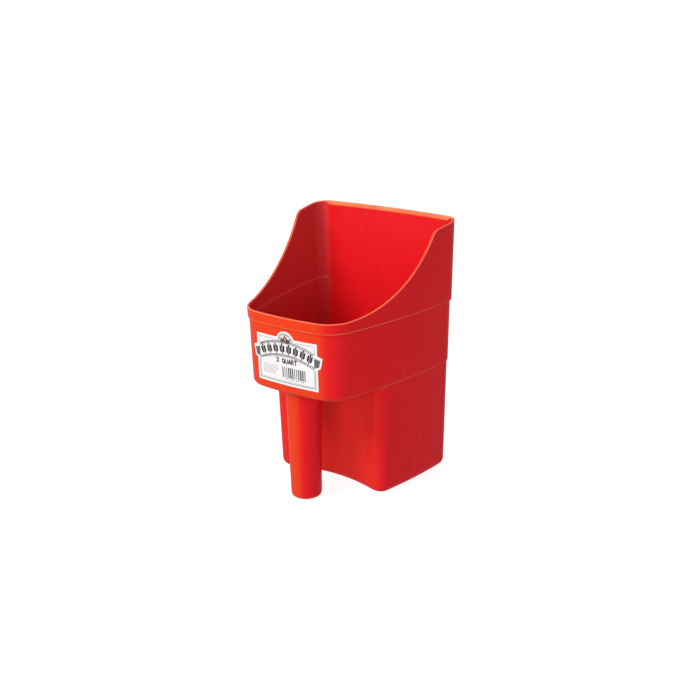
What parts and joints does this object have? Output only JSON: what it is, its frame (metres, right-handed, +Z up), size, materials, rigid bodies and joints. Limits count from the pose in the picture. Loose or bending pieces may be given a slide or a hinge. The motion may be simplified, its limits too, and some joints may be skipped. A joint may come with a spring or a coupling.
{
  "type": "feed scoop",
  "caption": "Open-fronted plastic feed scoop that stands on its base, with swept side walls, a stepped skirt, a deep bin with a knuckle hollow, a hollow vertical handle and a paper label.",
  "frame": {"origin": "on the floor, under the middle of the bounding box", "axes": "+Z up, -Y towards the front with the handle and the label, +X towards the scoop's right"},
  "size_m": [0.1658, 0.167, 0.25],
  "materials": {
    "red_plastic": "gloss",
    "label_paper": "satin"
  },
  "bodies": {
    "root": {"scoop_body": "red_plastic", "front_label": "label_paper"}
  },
  "joints": []
}
